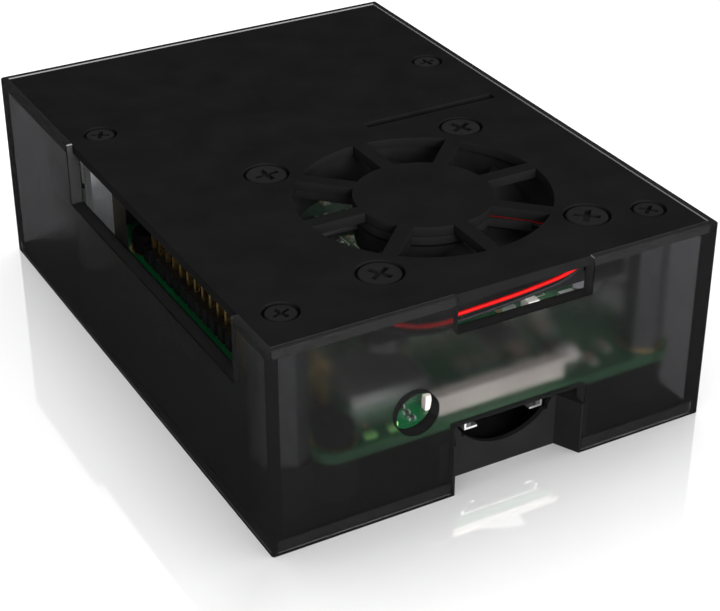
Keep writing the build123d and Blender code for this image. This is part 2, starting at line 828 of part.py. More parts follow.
def build_ribbon_body(place):
    """Cream body of a flat-ribbon connector with end pegs for the latch."""
    body = on_board(place[0], place[1], ribbon_depth, ribbon_width - 1.6, ribbon_body_height)
    for side in (-1, 1):
        across = place[1] + side * (ribbon_width / 2 - 0.55)
        body = body + on_board(place[0] + 0.4, across, 1.0, 1.1, ribbon_body_height - 0.4)
    return body - ribbon_slot(place)


def build_ribbon_latch(place):
    """Latch bar that lifts to free the ribbon, with a tab at each end."""
    top = ribbon_body_height
    bar = on_board(place[0], place[1], ribbon_depth, ribbon_width - 1.6, latch_height, top)
    for side in (-1, 1):
        across = place[1] + side * (ribbon_width / 2 - 0.3)
        bar = bar + on_board(place[0] - 0.5, across, 0.9, 1.6, latch_height, top)
    bar = chamfer(bar.faces().sort_by(Axis.Z)[-1].edges(), 0.12)
    return bar - ribbon_slot(place)


socket_along = (0.3, 14.9)
socket_across = 27.75
socket_width = 12.4
socket_height = 2.1
socket_skin = 0.3
socket_ear = 2.0             # front corner left beside the opening
socket_window_shift = 6.4    # the bottom plate's opening stops this far short of the back


def card_socket_blank(inset, low, high):
    """Slab hanging under the board, shrunk by inset at the sides and back."""
    x = board_right - socket_across
    side = socket_width / 2 - inset
    span = (board_front + socket_along[0], board_front + socket_along[1] - inset)
    return block((x - side, x + side), span, (board_under - high, board_under - low))


def build_card_socket_shell():
    """Folded metal cover of the memory card socket, open to the front."""
    shell = card_socket_blank(0, 0, socket_height)
    hollow = card_socket_blank(socket_skin, socket_skin, socket_height - socket_skin)
    hollow = hollow + Pos(0, -1, 0) * hollow
    window = card_socket_blank(socket_ear, socket_height - 0.5, socket_height + 1)
    return shell - hollow - Pos(0, -socket_window_shift, 0) * window


def build_card_socket_body():
    """Black moulding inside the socket, round the card's path."""
    inset = socket_skin + 0.05
    body = card_socket_blank(inset, inset, socket_height - inset)
    path = Pos(0, -1.2, 0) * card_socket_blank(inset + 0.65, 0.6, socket_height)
    return body - path


def build_card_socket_contacts():
    """Eight spring fingers at the back of the card socket."""
    fingers = []
    for index in range(8):
        across = socket_across + (index - 3.5) * 1.1
        x, y = board_point(10.6, across)
        fingers.append(block_at(x, y, board_under - 0.78, (0.5, 4.0, 0.12)))
    return group(fingers)


# ---------------------------------------------------------------- port connectors
usb_front = 87.3
usb_back = 69.8
usb_skin = 0.35
flange_depth = 0.5
tongue_size = (11.0, 8.6, 1.8)
port_levels = (4.35, 11.75)                # middles of the lower and upper USB openings
port_opening = (12.3, 5.6)


def build_usb_shell(across):
    """Folded metal shell of a double USB stack, with its flared front edge."""
    x = board_right - across
    y = (board_front + usb_back, board_front + usb_front)
    half = usb_width / 2
    shell = block((x - half, x + half), y, (board_top, board_top + usb_height))
    shell = fillet(shell.edges().filter_by(Axis.Y), 0.3)
    lip = block((x - half - 0.7, x + half + 0.7), (y[1] - flange_depth, y[1]),
                (board_top - 0.4, board_top + usb_height + 0.6))
    lip = lip - block((x - 40, x + 40), y, (board_top - 1, board_top))
    shell = shell + lip
    for level in port_levels:
        middle = board_top + level
        opening = block((x - port_opening[0] / 2, x + port_opening[0] / 2), (y[0] + 3.0, y[1] + 1),
                        (middle - port_opening[1] / 2, middle + port_opening[1] / 2))
        shell = shell - opening
    core = block((x - half + usb_skin, x + half - usb_skin), (y[0] - 1, y[0] + 3.1),
                 (board_top - 1, board_top + usb_height - usb_skin))
    return shell - core


def usb_tongue(x, middle):
    """Plastic tongue of one USB opening."""
    width, depth, height = tongue_size
    back = board_front + usb_back + 3.0
    return block((x - width / 2, x + width / 2), (back, back + depth + 4.0),
                 (middle + 0.2, middle + 0.2 + height))


def build_usb_insulators():
    """Black mouldings that fill each stack's back and carry its two tongues."""
    mouldings = []
    for across in usb_across:
        x = board_right - across
        half = usb_width / 2 - usb_skin - 0.02
        back = board_front + usb_back + 0.1
        body = block((x - half, x + half), (back, back + 2.88), (board_top, board_top + usb_height - 0.4))
        for level in port_levels:
            body = body + usb_tongue(x, board_top + level)
        mouldings.append(body)
    return group(mouldings)


def build_usb_contacts():
    """Four gold strips under each USB tongue."""
    strips = []
    for across in usb_across:
        for level in port_levels:
            for index in range(4):
                x = board_right - across + (index - 1.5) * 2.3
                y = board_front + usb_back + 10.2
                bottom = board_top + level + 0.2
                strips.append(block((x - 0.5, x + 0.5), (y - 4.5, y + 4.5), (bottom - 0.12, bottom)))
    return group(strips)


ethernet_front = 87.6
ethernet_back = 66.4
jack_opening = (11.8, 8.3)
jack_level = 5.3


def jack_parts():
    """Outline box and opening box of the network jack."""
    x = board_right - ethernet_across
    half = ethernet_width / 2
    y = (board_front + ethernet_back, board_front + ethernet_front)
    body = block((x - half, x + half), y, (board_top, board_top + ethernet_height))
    middle = board_top + jack_level
    opening = block((x - jack_opening[0] / 2, x + jack_opening[0] / 2), (y[1] - 13.5, y[1] + 1),
                    (middle - jack_opening[1] / 2, middle + jack_opening[1] / 2))
    latch_way = block((x - 3.2, x + 3.2), (y[1] - 11.0, y[1] + 1),
                      (middle - jack_opening[1] / 2 - 0.9, middle))
    return body, opening, latch_way


def build_ethernet_shell():
    """Metal skin of the network jack."""
    body, opening, latch_way = jack_parts()
    x = board_right - ethernet_across
    half = ethernet_width / 2 - 0.25
    y = (board_front + ethernet_back + 0.25, board_front + ethernet_front - 0.25)
    core = block((x - half, x + half), y, (board_top - 1, board_top + ethernet_height - 0.25))
    shell = fillet(body.edges().filter_by(Axis.Y).group_by(Axis.Z)[-1], 0.2) - core
    face_y = board_front + ethernet_front
    front_cut = block((x - 7.2, x + 7.2), (face_y - 1, face_y + 1), (board_top - 1, board_top + 11.9))
    shell = shell - front_cut
    for side in (-1, 1):
        tab = Box(0.8, 6.0, 3.0)
        slot = Box(1.2, 6.4, 3.4) - Pos(0, 0.6, 0) * tab
        shell = shell - Pos(x + side * (half + 0.1), face_y - 5.4, board_top + 6.5) * slot
    return shell


def build_ethernet_insert():
    """Black moulding of the network jack with its stepped opening."""
    body, opening, latch_way = jack_parts()
    x = board_right - ethernet_across
    half = ethernet_width / 2 - 0.28
    y = (board_front + ethernet_back + 0.28, board_front + ethernet_front - 0.28)
    insert = block((x - half, x + half), y, (board_top, board_top + ethernet_height - 0.28))
    insert = insert - opening - latch_way
    for side in (-1, 1):
        insert = insert - block_at(x + side * 5.4, y[1] - 1.7, board_top + 10.1, (3.2, 4.0, 1.7))
    return insert


def build_ethernet_contacts():
    """Eight slanted spring wires in the network jack."""
    x = board_right - ethernet_across
    face_y = board_front + ethernet_front
    wires = []
    for index in range(8):
        wire = Box(0.35, 9.0, 0.25)
        place = Pos(x + (index - 3.5) * 1.02, face_y - 8.6, board_top + 7.2) * Rot(-14, 0, 0)
        wires.append(place * wire)
    return group(wires)


def build_ethernet_lights():
    """Two light windows above the network jack's opening."""
    x = board_right - ethernet_across
    length = 3.4
    y = board_front + ethernet_front - 0.28 - length / 2
    return group([block_at(x + side * 5.4, y, board_top + 10.14, (3.1, length, 1.6)) for side in (-1, 1)])


def port_shell(along, width, height, depth, skin, lift):
    """Metal tube of a side port with a slightly flared mouth."""
    y = board_front + along
    front = board_right + port_reach
    span = (y - width / 2, y + width / 2)
    body = block((front - depth, front), span, (board_top + lift, board_top + lift + height))
    body = chamfer(body.edges().filter_by(Axis.X).group_by(Axis.Z)[0], height * 0.28)
    hollow_span = (y - width / 2 + skin, y + width / 2 - skin)
    hollow = block((front - depth + 0.8, front + 1), hollow_span,
                   (board_top + lift + skin, board_top + lift + height - skin))
    hollow = chamfer(hollow.edges().filter_by(Axis.X).group_by(Axis.Z)[0], height * 0.28 - skin * 0.4)
    return body - hollow


def build_power_port_shell():
    """Metal shell of the small power port."""
    return port_shell(power_along, 7.6, 2.7, 5.4, 0.3, 0.02)


def build_power_port_tongue():
    """Contact tongue of the power port."""
    y = board_front + power_along
    front = board_right + port_reach
    return block((front - 4.6, front - 1.0), (y - 1.9, y + 1.9), (board_top + 1.35, board_top + 1.95))


def build_video_port_shell():
    """Metal shell of the video port."""
    return port_shell(video_along, 15.0, 5.9, 11.4, 0.35, 0.02)


def build_video_port_tongue():
    """Contact tongue of the video port."""
    y = board_front + video_along
    front = board_right + port_reach
    return block((front - 10.6, front - 1.2), (y - 5.2, y + 5.2), (board_top + 2.75, board_top + 3.65))


def build_audio_jack_body():
    """Black block and barrel of the round audio and video socket."""
    y = board_front + audio_along
    front = board_right + port_reach
    block_front = board_right - 0.6
    body = block((block_front - 11.4, block_front), (y - 3.5, y + 3.5), (board_top, board_top + 6.0))
    body = fillet(body.edges().filter_by(Axis.X).group_by(Axis.Z)[-1], 0.5)
    barrel = Pos((block_front + front) / 2, y, audio_axis_z) * Rot(0, 90, 0)
    body = body + barrel * Cylinder(audio_radius - 0.1, front - block_front)
    bore = Pos(front - 5.5, y, audio_axis_z) * Rot(0, 90, 0) * Cylinder(2.1, 11.2)
    return body - bore


def build_audio_jack_contact():
    """Metal sleeve contact lining the audio socket's mouth."""
    y = board_front + audio_along
    front = board_right + port_reach
    turned = Pos(front - 2.4, y, audio_axis_z) * Rot(0, 90, 0)
    return turned * (Cylinder(2.08, 4.4) - Cylinder(1.8, 6.0))


# ---------------------------------------------------------------- small components
def component_row(along, across, count, step, size, turned=False):
    """Row of equal small parts; step is the move (along, across) from one to the next."""
    length, width, height = size
    if turned:
        length, width = width, length
    return [on_board(along + step[0] * i, across + step[1] * i, length, width, height) for i in range(count)]


small_size = (1.0, 0.55, 0.5)
medium_size = (1.6, 0.85, 0.8)
flat_size = (1.0, 0.5, 0.35)


def build_capacitors():
    """Ceramic capacitors round the chips and the connectors."""
    parts = component_row(17.0, 25.0, 4, (0, 3.0), small_size, True)
    parts += component_row(34.6, 25.6, 5, (0, 2.8), small_size, True)
    parts += component_row(20.6, 43.4, 5, (2.3, 0), small_size)
    parts += component_row(46.2, 24.4, 5, (2.6, 0), small_size)
    parts += component_row(48.6, 37.4, 4, (2.6, 0), small_size)
    parts += component_row(10.2, 24.4, 3, (0, 2.2), medium_size)
    parts += component_row(2.6, 12.6, 2, (1.9, -3.4), medium_size)
    parts += component_row(22.2, 15.6, 2, (0, 2.6), medium_size, True)
    parts += component_row(61.4, 14.2, 3, (0, 4.0), medium_size)
    parts += component_row(36.6, 18.6, 3, (2.4, 0), medium_size, True)
    return group(parts)


def build_resistors():
    """Chip resistors in short rows."""
    parts = component_row(6.6, 33.8, 4, (0, 1.9), flat_size)
    parts += component_row(29.4, 46.4, 5, (1.6, 0), flat_size, True)
    parts += component_row(57.8, 45.0, 4, (0, -1.8), flat_size)
    parts += component_row(62.6, 27.6, 5, (0, 1.7), flat_size)
    parts += component_row(35.4, 13.2, 4, (0, 1.5), flat_size)
    parts += component_row(1.6, 41.4, 3, (1.4, 0), flat_size, True)
    return group(parts)


def build_inductors():
    """Square power inductors beside the power chip."""
    parts = []
    for along, across in ((18.7, 15.8), (12.2, 14.2), (8.6, 20.9)):
        coil = on_board(along, across, 2.6, 2.2, 1.3)
        parts.append(chamfer(coil.edges().filter_by(Axis.Z), 0.3))
    return group(parts)


def build_tantalums():
    """Pale moulded capacitors near the power input."""
    return group([on_board(17.9, 11.9, 2.0, 1.9, 1.5), on_board(4.9, 15.2, 1.9, 3.0, 1.4)])


def build_crystals():
    """Metal-can timing crystals."""
    parts = []
    for along, across in ((43.6, 33.6), (20.2, 40.6), (59.4, 33.4)):
        can = on_board(along, across, 2.5, 2.0, 0.65)
        parts.append(soften(can, 0.3))
    return group(parts)


def build_status_lights():
    """Two indicator lights behind the round hole in the front wall."""
    return group([on_board(1.5, across, 0.9, 1.7, 0.6) for across in (44.6, 48.2)])


def build_power_fuse():
    """Flat resettable fuse beside the power port."""
    return soften(on_board(17.0, 5.4, 3.0, 2.4, 0.7), 0.2)


# ---------------------------------------------------------------- output
def save(name, shape):
    """Write one node."""
    shape.label = name
    export_step(shape, os.path.join("parts", name + ".step"))


def main():
    os.makedirs("parts", exist_ok=True)
    save("wall_frame", build_wall_frame())
    save("top_cover", build_top_cover())
    save("base_plate", build_base_plate())
    save("corner_standoffs", build_standoffs())
    save("cover_screws", build_cover_screws())
    save("base_screws", build_base_screws())
    save("board_screws", build_board_screws())
    save("fan_housing", build_fan_housing())
    save("fan_bushing", build_fan_bushing())
    save("fan_circuit", build_fan_circuit())
    save("fan_stator", build_fan_stator())
    save("fan_coils", build_fan_coils())
    save("fan_rotor", build_fan_rotor())
    save("fan_magnet", build_fan_magnet())
    save("fan_shaft", build_fan_shaft())
    save("fan_clip", build_fan_clip())
    save("fan_screws", build_fan_screws())
    save("fan_nuts", build_fan_nuts())
    save("fan_lead_red", build_lead(red_route()))
    save("fan_lead_black", build_lead(black_route()))
    save("fan_plug", build_fan_plug())
    save("fan_plug_terminals", build_plug_terminals())
    save("circuit_board", build_circuit_board())
    save("header_pins", build_header_pins())
    save("header_base", build_header_base())
    carrier, lid = build_processor()
    save("processor_carrier", carrier)
    save("processor_lid", lid)
    save("memory_chip", build_memory_chip())
    save("network_chip", build_chip("network_chip"))
    save("power_chip", build_chip("power_chip"))
    save("wireless_shield", build_wireless_shield())
    save("small_chips", build_small_chips())
    save("display_connector", build_ribbon_body(display_place))
    save("display_latch", build_ribbon_latch(display_place))
    save("camera_connector", build_ribbon_body(camera_place))
    save("camera_latch", build_ribbon_latch(camera_place))
    save("card_socket_shell", build_card_socket_shell())
    save("card_socket_body", build_card_socket_body())
    save("card_socket_contacts", build_card_socket_contacts())
    save("usb_shell_outer", build_usb_shell(usb_across[0]))
    save("usb_shell_middle", build_usb_shell(usb_across[1]))
    save("usb_insulators", build_usb_insulators())
    save("usb_contacts", build_usb_contacts())
    save("ethernet_shell", build_ethernet_shell())
    save("ethernet_insert", build_ethernet_insert())
    save("ethernet_contacts", build_ethernet_contacts())
    save("ethernet_lights", build_ethernet_lights())
    save("power_port_shell", build_power_port_shell())
    save("power_port_tongue", build_power_port_tongue())
    save("video_port_shell", build_video_port_shell())
    save("video_port_tongue", build_video_port_tongue())
    save("audio_jack_body", build_audio_jack_body())
    save("audio_jack_contact", build_audio_jack_contact())
    save("capacitors", build_capacitors())
    save("resistors", build_resistors())
    save("inductors", build_inductors())
    save("tantalum_capacitors", build_tantalums())
    save("crystals", build_crystals())
    save("status_lights", build_status_lights())
    save("power_fuse", build_power_fuse())


main()
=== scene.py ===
import json
import math

import bmesh
import bpy
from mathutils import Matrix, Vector


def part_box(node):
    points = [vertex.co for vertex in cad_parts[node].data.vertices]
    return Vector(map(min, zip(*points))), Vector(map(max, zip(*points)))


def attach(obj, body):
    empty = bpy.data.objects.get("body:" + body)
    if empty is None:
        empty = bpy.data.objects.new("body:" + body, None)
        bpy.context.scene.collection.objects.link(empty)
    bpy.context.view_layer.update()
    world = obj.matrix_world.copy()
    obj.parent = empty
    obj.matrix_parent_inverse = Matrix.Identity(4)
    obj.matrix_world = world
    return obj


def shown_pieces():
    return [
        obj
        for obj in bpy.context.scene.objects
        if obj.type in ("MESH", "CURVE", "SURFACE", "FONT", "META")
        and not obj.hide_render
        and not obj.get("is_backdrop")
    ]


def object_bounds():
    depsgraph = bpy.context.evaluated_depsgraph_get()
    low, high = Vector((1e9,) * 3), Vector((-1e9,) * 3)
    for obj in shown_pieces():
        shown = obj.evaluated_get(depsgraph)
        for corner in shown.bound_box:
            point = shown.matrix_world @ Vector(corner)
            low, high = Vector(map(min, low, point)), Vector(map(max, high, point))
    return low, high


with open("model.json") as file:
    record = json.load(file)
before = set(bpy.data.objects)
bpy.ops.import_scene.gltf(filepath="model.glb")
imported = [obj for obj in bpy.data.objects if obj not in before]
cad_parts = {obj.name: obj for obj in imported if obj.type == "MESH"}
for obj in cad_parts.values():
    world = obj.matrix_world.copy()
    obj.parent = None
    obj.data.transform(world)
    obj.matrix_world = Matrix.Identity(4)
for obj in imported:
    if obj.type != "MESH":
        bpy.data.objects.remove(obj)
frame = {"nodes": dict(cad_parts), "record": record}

# A cased single board computer on a pale floor. Metres, in the CAD model's frame: origin on the
# floor under the middle of the case, +Z up, -Y towards the memory card pocket.
# Names in capitals are in millimetres, unless a comment says otherwise.
cad_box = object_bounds()
nodes = frame["nodes"]
MM = 0.001                           # metres in a millimetre
CASE = "case"                        # the body that every new piece rides on
HALF_X = cad_box[1][0] / MM          # half the case's width and length
HALF_Y = cad_box[1][1] / MM
COVER_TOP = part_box("top_cover")[1].z / MM
BOARD_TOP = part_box("circuit_board")[1].z / MM
BOARD_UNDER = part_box("circuit_board")[0].z / MM
WALL = 2.0
BASE_EDGE = 2.5                      # the walls' lower edge round the base plate ends below this
SKIN = 0.15                          # nearer than this to a skin, a point belongs to the skin
HOLE_INSET = 3.5                     # mounting holes from the board's edges, and between them
HOLE_PITCH_X = 49.0
HOLE_PITCH_Y = 58.0


# ---------------------------------------------------------------- node building
class Nodes:
    """Short way to build one material's node tree."""

    def __init__(self, name):
        self.material = bpy.data.materials.new(name)
        self.material.use_nodes = True
        self.tree = self.material.node_tree
        self.shader = self.tree.nodes["Principled BSDF"]
        self.output = self.tree.nodes["Material Output"]
        self.place = None

    def add(self, kind, **settings):
        node = self.tree.nodes.new(kind)
        for name, value in settings.items():
            setattr(node, name, value)
        return node

    def link(self, source, target):
        self.tree.links.new(source, target)

    def coordinates(self):
        """The model's own coordinates, in millimetres."""
        if self.place is None:
            source = self.add("ShaderNodeTexCoord")
            scale = self.add("ShaderNodeVectorMath", operation="SCALE")
            scale.inputs["Scale"].default_value = 1000.0
            self.link(source.outputs["Object"], scale.inputs[0])
            self.place = scale.outputs["Vector"]
        return self.place

    def stretched(self, factors):
        """Coordinates multiplied axis by axis."""
        multiply = self.add("ShaderNodeVectorMath", operation="MULTIPLY")
        multiply.inputs[1].default_value = factors
        self.link(self.coordinates(), multiply.inputs[0])
        return multiply.outputs["Vector"]

    def noise(self, scale, detail=2.0, vector=None, roughness=0.5):
        """Noise texture; scale is in features per millimetre."""
        texture = self.add("ShaderNodeTexNoise")
        texture.inputs["Scale"].default_value = scale
        texture.inputs["Detail"].default_value = detail
        texture.inputs["Roughness"].default_value = roughness
        self.link(vector or self.coordinates(), texture.inputs["Vector"])
        return texture.outputs["Fac"]

    def cells(self, scale):
        """Voronoi distance; scale is in cells per millimetre."""
        texture = self.add("ShaderNodeTexVoronoi", feature="F1")
        texture.inputs["Scale"].default_value = scale
        self.link(self.coordinates(), texture.inputs["Vector"])
        return texture.outputs["Distance"]

    def ramp(self, value, stops):
        """Colour ramp; stops are (position, value or colour) pairs."""
        node = self.add("ShaderNodeValToRGB")
        elements = node.color_ramp.elements
        while len(elements) < len(stops):
            elements.new(0.5)
        for element, (position, colour) in zip(elements, stops):
            element.position = position
            if isinstance(colour, (int, float)):
                colour = (colour, colour, colour)
            element.color = (*colour, 1.0)
        self.link(value, node.inputs["Fac"])
        return node.outputs["Color"]

    def math(self, operation, first, second=0.0):
        """Arithmetic on numbers or sockets."""
        node = self.add("ShaderNodeMath", operation=operation)
        for socket, value in zip(node.inputs, (first, second)):
            if isinstance(value, (int, float)):
                socket.default_value = value
            else:
                self.link(value, socket)
        return node.outputs["Value"]

    def mix(self, factor, first, second):
        """Mix two colours, each a tuple or a socket."""
        node = self.add("ShaderNodeMix", data_type="RGBA")
        for socket, value in ((node.inputs["Factor"], factor), (node.inputs["A"], first),
                              (node.inputs["B"], second)):
            if isinstance(value, (int, float)):
                socket.default_value = value
            elif isinstance(value, tuple):
                socket.default_value = (*value, 1.0)
            else:
                self.link(value, socket)
        return node.outputs["Result"]

    def bump(self, height, strength, distance_mm):
        """Bump the shader's normal by a height value."""
        node = self.add("ShaderNodeBump")
        node.inputs["Strength"].default_value = strength
        node.inputs["Distance"].default_value = distance_mm * MM
        self.link(height, node.inputs["Height"])
        self.link(node.outputs["Normal"], self.shader.inputs["Normal"])

    def blend_shaders(self, factor, first, second):
        """Mix two shaders."""
        node = self.add("ShaderNodeMixShader")
        if isinstance(factor, float):
            node.inputs["Fac"].default_value = factor
        else:
            self.link(factor, node.inputs["Fac"])
        self.link(first, node.inputs[1])
        self.link(second, node.inputs[2])
        return node.outputs[0]

    def beyond(self, half_x, half_y):
        """Distance in millimetres outside a rectangle about the origin, below zero inside it."""
        size = self.add("ShaderNodeVectorMath", operation="ABSOLUTE")
        self.link(self.coordinates(), size.inputs[0])
        parts = self.add("ShaderNodeSeparateXYZ")
        self.link(size.outputs["Vector"], parts.inputs[0])
        past_x = self.math("SUBTRACT", parts.outputs["X"], half_x)
        past_y = self.math("SUBTRACT", parts.outputs["Y"], half_y)
        return self.math("MAXIMUM", past_x, past_y)

    def higher_than(self, height):
        """1 above a height in millimetres, 0 below it."""
        parts = self.add("ShaderNodeSeparateXYZ")
        self.link(self.coordinates(), parts.inputs[0])
        return self.math("GREATER_THAN", parts.outputs["Z"], height)

    def facing_up(self):
        """1 on level faces, 0 on upright ones."""
        parts = self.add("ShaderNodeSeparateXYZ")
        self.link(self.add("ShaderNodeNewGeometry").outputs["True Normal"], parts.inputs[0])
        return self.math("GREATER_THAN", self.math("ABSOLUTE", parts.outputs["Z"]), 0.5)

    def cut_faces(self):
        """1 on the faces between the walls' outer and inner skins, above the base plate, 0 elsewhere."""
        inside = self.math("LESS_THAN", self.beyond(HALF_X, HALF_Y), -SKIN)
        outside = self.math("GREATER_THAN", self.beyond(HALF_X - WALL, HALF_Y - WALL), SKIN)
        between = self.math("MULTIPLY", inside, outside)
        return self.math("MULTIPLY", between, self.higher_than(BASE_EDGE))

    def set(self, **values):
        """Set shader sockets that are the same all over the surface."""
        for name, value in values.items():
            socket = self.shader.inputs[name.replace("_", " ").title().replace("Ior", "IOR")]
            socket.default_value = (*value, 1.0) if isinstance(value, tuple) else value

    def colour(self, socket):
        self.link(socket, self.shader.inputs["Base Color"])

    def rough(self, socket):
        self.link(socket, self.shader.inputs["Roughness"])


# ---------------------------------------------------------------- materials
def plastic(name, dark, light, rough, grain, depth, specular=0.5):
    """Moulded or sheet plastic: mottled tone, slightly uneven gloss, and a fine grain of a depth in mm."""
    n = Nodes(name)
    tone = n.noise(0.16, 4.0)
    n.colour(n.ramp(tone, [(0.3, dark), (0.7, light)]))
    n.rough(n.ramp(n.noise(0.5, 3.0), [(0.3, rough - 0.05), (0.7, rough + 0.05)]))
    n.set(specular_ior_level=specular)
    n.bump(n.noise(grain, 3.0, roughness=0.6), 0.5, depth)
    return n.material


def smoky_plastic():
    """Smoke-tinted acrylic: satin faces, a faint sheen, frosted cut edges and a tint by depth; the frost
    colour also carries painted shade on level cut faces and a painted highlight along the lip above the
    cover.
    """
    n = Nodes("smoky_plastic")
    n.tree.nodes.remove(n.shader)
    satin = n.ramp(n.noise(0.05, 2.0), [(0.3, 0.20), (0.7, 0.24)])
    through = n.add("ShaderNodeBsdfRefraction")
    through.inputs["Color"].default_value = (0.95, 0.95, 0.96, 1.0)
    through.inputs["IOR"].default_value = 1.49
    n.link(satin, through.inputs["Roughness"])
    sheen = n.add("ShaderNodeBsdfAnisotropic")
    sheen.inputs["Color"].default_value = (1.0, 1.0, 1.0, 1.0)
    n.link(satin, sheen.inputs["Roughness"])
    face = n.blend_shaders(0.012, through.outputs[0], sheen.outputs[0])
    frost_with_painted_light = n.add("ShaderNodeBsdfDiffuse")
    # Frost is darker on level cut faces than on upright ones: painted shade and light by facing direction,
    # not a change in the plastic.
    level = n.ramp(n.noise(1.2, 3.0), [(0.3, 0.008), (0.7, 0.012)])
    upright = n.ramp(n.noise(1.2, 3.0), [(0.3, 0.017), (0.7, 0.024)])
    # Above the cover's top the upright frost turns pale grey: a painted highlight line along the walls'
    # exposed lip.
    upright = n.mix(n.higher_than(COVER_TOP), upright, (0.13, 0.13, 0.135))
    n.link(n.mix(n.facing_up(), upright, level), frost_with_painted_light.inputs["Color"])
    whole = n.blend_shaders(n.math("MULTIPLY", n.cut_faces(), 0.9), face, frost_with_painted_light.outputs[0])
    clear = n.add("ShaderNodeBsdfTransparent")
    lamps = n.add("ShaderNodeLightPath").outputs["Is Shadow Ray"]
    n.link(n.blend_shaders(lamps, whole, clear.outputs[0]), n.output.inputs["Surface"])
    absorb = n.add("ShaderNodeVolumeAbsorption")
    absorb.inputs["Color"].default_value = (0.07, 0.055, 0.062, 1.0)
    absorb.inputs["Density"].default_value = 660.0
    n.link(absorb.outputs["Volume"], n.output.inputs["Volume"])
    return n.material


def brushed_metal(name, dark, light, rough, along=(1.0, 1.0, 1.0)):
    """Rolled or plated metal with fine streaks along one direction."""
    n = Nodes(name)
    streaks = n.noise(1.0, 4.0, n.stretched(along), 0.6)
    clouds = n.noise(0.22, 3.0)
    base = n.ramp(streaks, [(0.3, dark), (0.7, light)])
    n.colour(n.mix(n.ramp(clouds, [(0.42, 0.0), (0.75, 0.3)]), base, dark))
    n.rough(n.ramp(streaks, [(0.3, rough + 0.08), (0.7, rough - 0.05)]))
    n.set(metallic=1.0)
    n.bump(streaks, 0.25, 0.01)
    return n.material


def board_material():
    """Solder mask over copper: traces, ground fill, drilled vias and a fibreglass edge."""
    n = Nodes("solder_mask")
    mask, copper = (0.001, 0.060, 0.017), (0.002, 0.115, 0.032)
    traces = n.add("ShaderNodeTexBrick", offset=0.37, squash=1.7, squash_frequency=3)
    traces.inputs["Scale"].default_value = 0.42
    traces.inputs["Mortar Size"].default_value = 0.055
    traces.inputs["Mortar Smooth"].default_value = 0.1
    traces.inputs["Brick Width"].default_value = 1.9
    traces.inputs["Row Height"].default_value = 0.27
    warp = n.add("ShaderNodeVectorMath", operation="ADD")
    shift = n.add("ShaderNodeTexVoronoi", feature="F1", distance="CHEBYCHEV")
    shift.inputs["Scale"].default_value = 0.11
    n.link(n.coordinates(), shift.inputs["Vector"])
    n.link(n.coordinates(), warp.inputs[0])
    n.link(shift.outputs["Color"], warp.inputs[1])
    n.link(warp.outputs["Vector"], traces.inputs["Vector"])
    lines = traces.outputs["Fac"]
    pour = n.ramp(n.cells(0.09), [(0.30, 0.0), (0.34, 0.55)])
    vias = n.ramp(n.cells(0.55), [(0.10, 1.0), (0.14, 0.0)])
    base = n.mix(pour, mask, (0.0015, 0.085, 0.024))
    base = n.mix(n.math("MULTIPLY", lines, 0.75), base, copper)
    base = n.mix(n.math("MULTIPLY", vias, 0.7), base, (0.02, 0.16, 0.05))
    layers = n.noise(1.0, 2.0, n.stretched((0.4, 0.4, 7.0)))
    edge = n.ramp(layers, [(0.35, (0.012, 0.060, 0.025)), (0.65, (0.03, 0.095, 0.04))])
    n.colour(n.mix(n.facing_up(), edge, base))
    n.rough(n.ramp(n.noise(0.8, 3.0), [(0.3, 0.26), (0.7, 0.38)]))
    n.set(coat_weight=0.25, coat_roughness=0.2)
    n.bump(n.math("ADD", lines, n.math("MULTIPLY", vias, -1.0)), 0.5, 0.03)
    return n.material


def ceramic_material():
    """Tan ceramic blocks, each batch a little different in tone."""
    n = Nodes("ceramic_block")
    n.colour(n.ramp(n.cells(0.28), [(0.1, (0.30, 0.16, 0.08)), (0.5, (0.46, 0.28, 0.16)),
                                    (0.9, (0.25, 0.12, 0.06))]))
    n.rough(n.ramp(n.noise(2.0, 2.0), [(0.3, 0.4), (0.7, 0.55)]))
    n.bump(n.noise(5.0, 2.0), 0.3, 0.01)
    return n.material


def wire_material(name, deep, bright, specular):
    """Extruded insulation with faint drawing lines and a soft gloss."""
    n = Nodes(name)
    n.colour(n.ramp(n.noise(0.7, 3.0), [(0.3, deep), (0.7, bright)]))
    n.rough(n.ramp(n.noise(1.5, 2.0), [(0.3, 0.30), (0.7, 0.42)]))
    n.set(specular_ior_level=specular)
    n.bump(n.noise(3.0, 2.0), 0.2, 0.01)
    return n.material


def window_material():
    """Translucent light window."""
    n = Nodes("light_window")
    n.colour(n.ramp(n.noise(0.8, 2.0), [(0.3, (0.20, 0.55, 0.14)), (0.7, (0.34, 0.70, 0.24))]))
    n.rough(n.ramp(n.noise(1.2, 2.0), [(0.3, 0.28), (0.7, 0.40)]))
    n.set(transmission_weight=0.35)
    n.bump(n.noise(3.0, 2.0), 0.2, 0.01)
    return n.material


def copper_winding():
    """Fine enamelled wire wound round each pole."""
    n = Nodes("copper_winding")
    wave = n.add("ShaderNodeTexWave", bands_direction="Z")
    wave.inputs["Scale"].default_value = 1.6
    wave.inputs["Distortion"].default_value = 0.6
    n.link(n.coordinates(), wave.inputs["Vector"])
    n.colour(n.ramp(wave.outputs["Fac"], [(0.2, (0.25, 0.07, 0.02)), (0.8, (0.75, 0.32, 0.12))]))
    n.rough(n.ramp(n.noise(2.0, 2.0), [(0.3, 0.3), (0.7, 0.4)]))
    n.set(metallic=1.0)
    n.bump(wave.outputs["Fac"], 0.6, 0.05)
    return n.material


